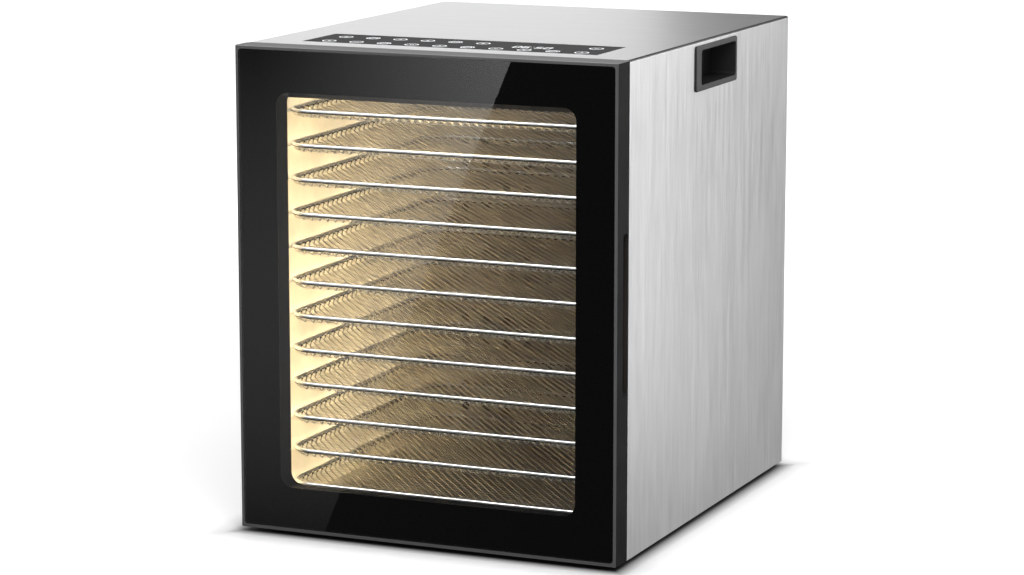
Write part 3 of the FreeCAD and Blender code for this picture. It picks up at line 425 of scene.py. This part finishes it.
finishes = {
    "brushed_steel_case": caseSteel(),
    "chamber_steel": moulded("chamberSteel", (0.62, 0.60, 0.55), 0.42, 300, 0.03, Metallic=0.35),
    "tray_steel": traySteel(),
    "zinc_sheet": moulded("zincSheet", (0.42, 0.43, 0.44), 0.42, 160, 0.1, Metallic=0.9),
    "rear_sheet": moulded("rearSheet", (0.035, 0.035, 0.038), 0.52, 1600, 0.35),
    "frame_steel": brushedSteel("frameSteel", (0.24, 0.21, 0.18), (0.18, 0.16, 0.14), (0.42, 0.54),
                                (600, 600, 12)),
    "hinge_steel": brushedSteel("hingeSteel", (0.74, 0.74, 0.75), (0.6, 0.6, 0.61), (0.2, 0.3),
                                (300, 300, 300)),
    "screw_steel": brushedSteel("screwSteel", (0.62, 0.62, 0.63), (0.46, 0.46, 0.47), (0.26, 0.4),
                                (700, 700, 700)),
    "door_plastic": doorPlastic(),
    "door_glass": clearGlass("doorGlass", (0.97, 0.985, 0.975)),
    "black_print": moulded("blackPrint", (0.0035, 0.0035, 0.004), 0.3, 700, 0.02),
    "bush_plastic": moulded("bushPlastic", (0.70, 0.69, 0.64), 0.45),
    "magnet_ferrite": moulded("magnetFerrite", (0.06, 0.06, 0.065), 0.55),
    "panel_gloss": panelGloss(),
    "handle_plastic": moulded("handlePlastic", (0.010, 0.010, 0.011), 0.42, 1300, 0.2),
    "foot_rubber": moulded("footRubber", (0.05, 0.05, 0.052), 0.78, 700, 0.4),
    "board_green": moulded("boardGreen", (0.015, 0.11, 0.045), 0.4, 300, 0.2),
    "display_case": moulded("displayCase", (0.02, 0.02, 0.022), 0.4),
    "inlet_plastic": moulded("inletPlastic", (0.012, 0.012, 0.013), 0.36),
    "impeller_aluminium": brushedSteel("impellerAluminium", (0.80, 0.80, 0.81), (0.66, 0.66, 0.67),
                                       (0.28, 0.4), (200, 200, 200)),
    "motor_steel": moulded("motorSteel", (0.30, 0.31, 0.32), 0.38, 200, 0.1, Metallic=0.85),
    "heater_sheath": brushedSteel("heaterSheath", (0.26, 0.24, 0.22), (0.14, 0.12, 0.11), (0.4, 0.55),
                                  (90, 90, 90)),
    "post_ceramic": moulded("postCeramic", (0.78, 0.76, 0.70), 0.6),
    "cutout_body": moulded("cutoutBody", (0.10, 0.07, 0.045), 0.45),
    "lamp_board": glowing("lampBoard", (1.0, 0.80, 0.50), 6.0),
    "lamp_lens": glowing("lampLens", (1.0, 0.80, 0.50), 3.0, 0.35),
    "lead_sleeve": moulded("leadSleeve", (0.62, 0.60, 0.54), 0.6),
    "ribbon_sleeve": moulded("ribbonSleeve", (0.45, 0.46, 0.48), 0.5),
}
for entry in frame["record"]["subparts"]:
    nodes[entry["node"]].data.materials.clear()
    nodes[entry["node"]].data.materials.append(finishes[entry["material_slot"]])
print("materials laid on", len(finishes), "slots")


def finishPiece(piece, slot, body):
    piece.data.materials.clear()
    piece.data.materials.append(finishes[slot])
    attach(piece, body)
    return piece


# trays: a rounded steel band and a welded wire basket

tray = {
    "bandHeight": 0.0034,
    "bandThick": 0.0026,
    "bandRound": 0.0011,
    "cornerRadius": 0.025,
    "wire": 0.0012,
    "crossWire": 0.0005,
    "pitch": 0.0057,
    "lean": 51,  # degrees of each wire family from the tray's width
    "weld": 0.45,  # drop from one family to the other, as a share of both thicknesses
    "clearance": 0.6,  # wire thicknesses between the band's inner face and a wire's middle
    "fold": 0.0052,  # length of wire turned up at the edge
    "foldAngle": 72,
    "foldRound": 0.0007,  # a second cut this far past the fold line
    "foldTrim": 0.0004,  # wire left beyond the fold's length
}
firstLow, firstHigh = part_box(trayNodes[0])
bandLevel = firstHigh.z - tray["bandHeight"] / 2


def makeBand():
    half = tray["bandHeight"] / 2
    band = addBlock("trayRim", (firstLow.x, firstLow.y, bandLevel - half),
                    (firstHigh.x, firstHigh.y, bandLevel + half))
    pickEdges(band, upright)
    bpy.ops.mesh.bevel(offset=tray["cornerRadius"], segments=12, affect="EDGES")
    pickFaces(band, lambda face: abs(face.normal.z) > 0.9)
    bpy.ops.mesh.delete(type="FACE")
    objectMode()
    applyModifier(band, "SOLIDIFY", thickness=tray["bandThick"], offset=-1, use_even_offset=True)
    applyModifier(band, "BEVEL", width=tray["bandRound"], segments=3, limit_method="ANGLE",
                  angle_limit=math.radians(50))
    smooth(band, 40)
    return band


def makeWires(angle, level, thick):
    # one family of parallel wires, laid over the whole basket
    centre = Vector(((firstLow.x + firstHigh.x) / 2, (firstLow.y + firstHigh.y) / 2, level))
    reach = (firstHigh - firstLow).xy.length
    count = int(reach / tray["pitch"]) + 1
    across = Vector((-math.sin(angle), math.cos(angle), 0)) * tray["pitch"]
    selectNothing()
    start = centre - across * (count - 1) / 2
    bpy.ops.mesh.primitive_cylinder_add(vertices=6, radius=thick / 2, depth=reach, location=start,
                                        rotation=(0, math.pi / 2, angle))
    wires = namePiece("wires")
    settle(wires)
    applyModifier(wires, "ARRAY", count=count, use_relative_offset=False, use_constant_offset=True,
                  constant_offset_displace=across)
    return wires


def basketSides(inset):
    # the eight sides of the basket's outline: outward direction, distance from the middle
    middle = (firstLow + firstHigh) / 2
    halfX = (firstHigh.x - firstLow.x) / 2 - inset
    halfY = (firstHigh.y - firstLow.y) / 2 - inset
    radius = tray["cornerRadius"] - inset
    sides = [(Vector((1, 0)), halfX), (Vector((-1, 0)), halfX),
             (Vector((0, 1)), halfY), (Vector((0, -1)), halfY)]
    slant = math.sqrt(0.5)
    for x in (-1, 1):
        for y in (-1, 1):
            sides.append((Vector((x, y)) * slant, (halfX + halfY - 2 * radius) * slant + radius))
    return middle, sides


def makeBasket():
    floor = firstLow.z + tray["wire"] / 2 + tray["crossWire"]
    under = floor - (tray["wire"] + tray["crossWire"]) * tray["weld"]
    lean = math.radians(tray["lean"])
    basket = joinPieces("trayMesh", [makeWires(-lean, floor, tray["wire"]),
                                     makeWires(lean, under, tray["crossWire"])])
    innerFace = tray["bandThick"] + tray["wire"] * tray["clearance"]
    foldLine = innerFace + tray["fold"] * math.cos(math.radians(tray["foldAngle"]))
    middle, foldSides = basketSides(foldLine)
    for step, clear in ((0.0, False), (tray["foldRound"], False), (tray["fold"] + tray["foldTrim"], True)):
        for direction, distance in foldSides:
            selectOnly(basket)
            bpy.ops.object.mode_set(mode="EDIT")
            bpy.ops.mesh.select_all(action="SELECT")
            place = middle.xy + direction * (distance + step)
            bpy.ops.mesh.bisect(plane_co=(place.x, place.y, 0), plane_no=(direction.x, direction.y, 0),
                                clear_outer=clear, use_fill=clear)
            objectMode()
    turn = math.radians(tray["foldAngle"])
    for point in basket.data.vertices:  # the overhang turns up about the fold line
        direction, over = max(((way, (point.co.xy - middle.xy).dot(way) - distance)
                               for way, distance in foldSides), key=lambda pair: pair[1])
        if over > 0.000001:
            height = point.co.z - floor
            moved = over * math.cos(turn) - height * math.sin(turn) - over
            point.co.x += direction.x * moved
            point.co.y += direction.y * moved
            point.co.z = floor + over * math.sin(turn) + height * math.cos(turn)
    smooth(basket, 50)
    return basket


band, basket = makeBand(), makeBasket()
for name in trayNodes:
    number = name[-2:]
    shift = Vector((0, 0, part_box(name)[1].z - firstHigh.z))
    rim = finishPiece(copyPiece(band, "trayRim_" + number, shift), "tray_steel", name)
    mesh = finishPiece(copyPiece(basket, "trayMesh_" + number, shift), "tray_steel", name)
    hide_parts(name)
    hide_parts(name)
for piece in (band, basket):
    bpy.data.objects.remove(piece)
print("trays made:", len(trayNodes))


# print on the touch panel
panel = {
    "columns": 10,
    "displayColumns": (6, 7, 8),  # left clear in the back row
    "firstColumn": -0.115,
    "pitch": 0.0256,
    "frontRow": 0.0372,  # behind the front of the case
    "backRow": 0.0695,
    "ring": 0.0062,
    "line": 0.0011,
    "thick": 0.00008,
}
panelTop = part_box("touch_panel")[1].z
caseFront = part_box("case_wrap")[0].y
iconPrint = glowing("iconPrint", (0.9, 0.95, 1.0), 0.55)


def flatRing(x, y, radius, line, sides=28):
    selectNothing()
    bpy.ops.mesh.primitive_circle_add(vertices=sides, radius=radius, fill_type="NGON",
                                      location=(x, y, panelTop + panel["thick"] / 2))
    ring = namePiece("ring")
    settle(ring)
    pickFaces(ring, lambda face: True)
    bpy.ops.mesh.inset(thickness=line)
    bpy.ops.mesh.delete(type="FACE")
    objectMode()
    applyModifier(ring, "SOLIDIFY", thickness=panel["thick"], offset=0)
    return ring


def flatBar(x, y, width, depth):
    bar = addBlock("bar", (x - width / 2, y - depth / 2, panelTop),
                   (x + width / 2, y + depth / 2, panelTop + panel["thick"]))
    pickEdges(bar, upright)
    bpy.ops.mesh.bevel(offset=min(width, depth) * 0.45, segments=3, affect="EDGES")
    objectMode()
    return bar


def glyph(x, y, kind):
    size = panel["ring"] * 0.5
    thin = panel["line"] * 0.8
    shapes = {
        0: [(0, 0, size, thin), (0, 0, thin, size)],
        1: [(0, 0, size * 1.2, thin)],
        2: [(0, size * 0.3, size, thin), (0, -size * 0.3, size, thin)],
        3: [(-size * 0.35, 0, thin, size), (size * 0.35, 0, thin, size)],
        4: [(0, size * 0.4, thin, size * 0.7), (0, -size * 0.4, size * 0.9, thin)],
    }
    return [flatBar(x + dx, y + dy, width, depth) for dx, dy, width, depth in shapes[kind % len(shapes)]]


def makeIcons():
    marks = []
    for row, depth in enumerate((panel["frontRow"], panel["backRow"])):
        for column in range(panel["columns"]):
            if row == 1 and column in panel["displayColumns"]:
                continue
            x = panel["firstColumn"] + panel["pitch"] * column
            y = caseFront + depth
            marks.append(flatRing(x, y, panel["ring"], panel["line"]))
            if (column + row) % 3 == 2:
                marks.append(flatRing(x, y, panel["ring"] * 0.62, panel["line"] * 0.5, 20))
            else:
                marks.append(joinPieces("glyph", glyph(x, y, column + 2 * row)))
    return joinPieces("panelIcons", marks)


digits = {
    "shown": "0650",
    "firstX": 0.0500,
    "behindFront": 0.0560,
    "width": 0.0050,
    "height": 0.0105,
    "line": 0.0013,
    "step": 0.0080,
    "pairGap": 0.0035,  # more room after the second figure
    "colonShift": 0.0018,
    "colonHalf": 0.003,
}
# across, up, and whether the segment lies flat
segments = {
    "top": (0, 1, 1), "middle": (0, 0, 1), "bottom": (0, -1, 1),
    "upLeft": (-1, 0.5, 0), "upRight": (1, 0.5, 0),
    "lowLeft": (-1, -0.5, 0), "lowRight": (1, -0.5, 0),
}
figures = {
    "0": ("top", "bottom", "upLeft", "upRight", "lowLeft", "lowRight"),
    "5": ("top", "middle", "bottom", "upLeft", "lowRight"),
    "6": ("top", "middle", "bottom", "upLeft", "lowLeft", "lowRight"),
}


def makeDigits():
    bars = []
    y = caseFront + digits["behindFront"]
    for place, figure in enumerate(digits["shown"]):
        x = digits["firstX"] + place * digits["step"] + (digits["pairGap"] if place > 1 else 0)
        for part in figures[figure]:
            across, up, flat = segments[part]
            barX, barY = x + across * digits["width"] / 2, y + up * digits["height"] / 2
            if flat:
                bars.append(flatBar(barX, barY, digits["width"], digits["line"]))
            else:
                bars.append(flatBar(barX, barY, digits["line"], digits["height"] / 2))
    colonX = digits["firstX"] + digits["step"] * 1.5 + digits["colonShift"]
    for side in (-1, 1):
        bars.append(flatBar(colonX, y + side * digits["colonHalf"], digits["line"], digits["line"]))
    return joinPieces("displayDigits", bars)


for piece in (makeIcons(), makeDigits()):
    piece.data.materials.clear()
    piece.data.materials.append(iconPrint)
    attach(piece, "cabinet")
print("touch panel printed")


# stage, light and camera
studio = {
    "camera": (1.1523, -2.6740, 0.7210),
    "forward": (-0.39224, 0.90219, -0.17948),
    "lens": 117.87,
    "backdrop": (1.0, 1.0, 1.0),
    "sides": {(1, 0, 0): 0.38, (-1, 0, 0): 0.19, (0, 1, 0): 0.07},  # how bright the room is to each side
    "warm": (1.0, 0.76, 0.42),  # the light inside the chamber
}
paper = {
    "size": 12,
    "tones": (0.90, 0.93),
    "inset": 0.004,  # distances count from this far inside the object's box
    "contact": (-0.002, 0.015),  # the painted contact shadow under the edges ends between these distances
    "contactTone": 0.03,
    "nearGlow": (0.42, 0.002, 0.035),  # how much, and between which distances it comes; held back at the edges as painted shadow
    "farGlow": (0.68, 0.3, 1.4),
}
# name: place, aim, width and height, watts
softBoxes = {
    "overhead": ((0.0, 0.0, 1.8), (0.1, 0.0, 0.3), (1.4, 1.4), 8),
    "frontTop": ((0.9, -1.6, 1.7), (0.1, 0.0, 0.3), (1.2, 1.2), 30),
    "leftFront": ((-1.8, -1.2, 0.8), (0.1, 0.0, 0.3), (1.0, 1.0), 12),
    "rearLeftLow": ((-1.0, 1.6, 0.6), (0.1, 0.0, 0.3), (1.0, 1.0), 3.3),
    "rearLeftHigh": ((-0.8, 1.4, 1.4), (0.1, 0.0, 0.3), (1.0, 1.0), 1.1),
    "rear": ((0.2, 2.0, 0.6), (0.1, 0.0, 0.3), (1.0, 1.0), 1.0),
    "sideSweep": ((1.32, 1.2, 0.13), (0.17, -0.15, 0.13), (0.72, 0.9), 5.0),
    "sideHigh": ((1.25, 1.1, 0.50), (0.17, -0.15, 0.35), (0.4, 0.4), 1.1),
    "sideRear": ((0.38, 0.3, 0.55), (0.17, -0.15, 0.35), (0.25, 0.25), 0.32),
}


def makeFloor():
    selectNothing()
    bpy.ops.mesh.primitive_plane_add(size=paper["size"], location=(0, 0, cadBox[0].z))
    floor = namePiece("floor")
    material, tree, shader = startMaterial("floorPaper", (0.93, 0.93, 0.93), 0.7)
    x, y, z = placeParts(tree)
    beyond = [combine(tree, "SUBTRACT", combine(tree, "ABSOLUTE", place, 0.0), half - paper["inset"])
              for place, half in ((x, cadBox[1].x), (y, cadBox[1].y))]
    gap = combine(tree, "MAXIMUM", *beyond)  # how far outside the footprint
    patch = addNoise(tree, placeVector(tree), 3.0)
    tone = mixColours(tree, spread(tree, patch, 0, 1), *((level,) * 3 for level in paper["tones"]))
    # painted contact shadow: the paper darkens close to the object's footprint
    contact = spread(tree, gap, 0, 1, *paper["contact"])
    dimmed = mixColours(tree, contact, (paper["contactTone"],) * 3, tone)
    tree.links.new(dimmed, shader.inputs["Base Color"])
    shader.inputs["Emission Color"].default_value = (1, 1, 1, 1)
    # the paper's own glow fades out close to the footprint, adding to the painted contact shadow
    glow = combine(tree, "ADD", *(spread(tree, gap, 0, *paper[key]) for key in ("nearGlow", "farGlow")))
    tree.links.new(glow, shader.inputs["Emission Strength"])
    floor.data.materials.append(material)
    floor.visible_glossy = False
    floor.visible_transmission = False


def makeRoom():
    # white behind the object, and soft light on it from three sides
    world = bpy.data.worlds.new("studio")
    bpy.context.scene.world = world
    world.use_nodes = True
    tree = world.node_tree
    background = tree.nodes["Background"]
    coordinates = addNode(tree, "ShaderNodeTexCoord")
    total = 0.0
    for side, level in studio["sides"].items():
        facing = addNode(tree, "ShaderNodeVectorMath", operation="DOT_PRODUCT")
        facing.inputs[1].default_value = side
        tree.links.new(coordinates.outputs["Generated"], facing.inputs[0])
        total = combine(tree, "ADD", total, spread(tree, facing.outputs["Value"], 0.0, level, 0.0, 0.8))
    rays = addNode(tree, "ShaderNodeLightPath")
    seen = mixColours(tree, rays.outputs["Is Camera Ray"], total, studio["backdrop"])
    tree.links.new(seen, background.inputs["Color"])


def addLight(name, place, aim, size, power, colour=(1, 1, 1)):
    light = bpy.data.lights.new(name, "AREA")
    light.shape = "RECTANGLE"
    light.size, light.size_y = size
    light.energy = power
    light.color = colour
    lamp = bpy.data.objects.new(name, light)
    bpy.context.scene.collection.objects.link(lamp)
    lamp.location = place
    lamp.rotation_euler = (Vector(aim) - Vector(place)).to_track_quat("-Z", "Y").to_euler()
    lamp.visible_camera = False
    return lamp


def lightOnly(lamp, lit, shading):
    for suffix, pieces in (("Lit", lit), ("Shading", shading)):
        group = bpy.data.collections.new(lamp.name + suffix)
        for piece in pieces:
            group.objects.link(piece)
        if suffix == "Lit":
            lamp.light_linking.receiver_collection = group
        else:
            lamp.light_linking.blocker_collection = group


def makeCamera():
    camera = bpy.data.cameras.new("camera")
    camera.sensor_width = 36
    camera.lens = studio["lens"]
    camera.clip_start = 0.05
    holder = bpy.data.objects.new("camera", camera)
    bpy.context.scene.collection.objects.link(holder)
    holder.location = studio["camera"]
    holder.rotation_euler = Vector(studio["forward"]).to_track_quat("-Z", "Y").to_euler()
    bpy.context.scene.camera = holder


makeFloor()
makeRoom()
makeCamera()
for name, (place, aim, size, power) in softBoxes.items():
    addLight(name, place, aim, size, power)


# the grey card that the left of the glass mirrors
card = {
    "corners": ((0.090, 0.442), (-0.56, 0.442), (-0.56, -0.04), (-0.113, -0.04)),  # X and Z on the glass
    "reach": 0.9,  # how far in front of the glass it stands
    "across": (-0.157, 0.078),  # X on the glass between which its top brightens
    "upright": (0.0, 0.415),  # Z on the glass of its dimmer ends
    "edges": 0.2,
    "middle": 1.8,
    "rise": 2.05,
    "risePowers": (1.4, 2.0),  # across and up
}


def makeCard():
    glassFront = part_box("door_glass")[0].y
    eye = Vector(studio["camera"])
    eye.y = 2 * glassFront - eye.y  # the camera, mirrored in the glass
    selectNothing()
    bpy.ops.mesh.primitive_plane_add(size=1)
    piece = namePiece("greyCard")

    def fromGlass(x, z):
        way = Vector((x, glassFront, z)) - eye
        return eye + way * ((glassFront - card["reach"] - eye.y) / way.y)

    for point, (x, z) in zip(piece.data.vertices, (card["corners"][i] for i in (3, 2, 0, 1))):
        point.co = fromGlass(x, z)
    material = bpy.data.materials.new("greyCard")
    material.use_nodes = True
    tree = material.node_tree
    tree.nodes.clear()
    glow = addNode(tree, "ShaderNodeEmission")
    glow.inputs["Color"].default_value = (1, 1, 1, 1)
    x, y, z = placeParts(tree)
    start = fromGlass(card["across"][0], card["upright"][0])
    end = fromGlass(card["across"][1], card["upright"][1])
    along = spread(tree, x, 0, 1, start.x, end.x)
    up = spread(tree, z, 0, 1, start.z, end.z)
    bulge = combine(tree, "MULTIPLY", up, combine(tree, "SUBTRACT", 1.0, up))
    bulge = combine(tree, "MULTIPLY", bulge, card["middle"])
    corner = combine(tree, "MULTIPLY", *(combine(tree, "POWER", way, power)
                                         for way, power in zip((along, up), card["risePowers"])))
    corner = combine(tree, "MULTIPLY", corner, card["rise"])
    fade = combine(tree, "ADD", combine(tree, "ADD", bulge, card["edges"]), corner)
    tree.links.new(fade, glow.inputs["Strength"])
    output = addNode(tree, "ShaderNodeOutputMaterial")
    tree.links.new(glow.outputs["Emission"], output.inputs["Surface"])
    piece.data.materials.append(material)
    for ray in ("camera", "diffuse", "transmission", "volume_scatter", "shadow"):
        setattr(piece, "visible_" + ray, False)


makeCard()

mouthLow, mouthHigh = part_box("liner_left")
roof = mouthHigh.z - 0.004
middle = (mouthLow.z + mouthHigh.z) / 2
leftWall = [nodes["liner_left"]]
liners = [nodes[name] for name in nodes if name.startswith("liner")]
rims = [piece for piece in bpy.data.objects if piece.name.startswith("trayRim")]
wires = [piece for piece in bpy.data.objects if piece.name.startswith(("trayRim", "trayMesh"))]
# name: place, aim, width and height, watts, colour, the pieces it lights, the pieces that shade it
innerLamps = {
    "wallGlow": ((0.144, -0.10, middle), (-0.15, -0.13, middle), (0.05, 0.34), 2.2, studio["warm"],
                 leftWall, leftWall),
    "roofGlow": ((0, -0.145, roof), (0, 0.0, 0), (0.20, 0.02), 0.08, studio["warm"],
                 liners + wires, liners + wires),
    "trayKey": ((-0.62, -1.2, 1.3), (0, -0.1, 0.2), (0.5, 0.5), 28, (1, 1, 1), wires, wires),
    "rimKey": ((-0.62, -1.2, 1.3), (0, -0.1, 0.2), (0.5, 0.5), 50, (1, 1, 1), rims, wires),
}
for name, (place, aim, size, power, colour, lit, shading) in innerLamps.items():
    lightOnly(addLight(name, place, aim, size, power, colour), lit, shading)
bpy.context.scene.view_settings.view_transform = "Standard"
print("studio, lights and camera set")
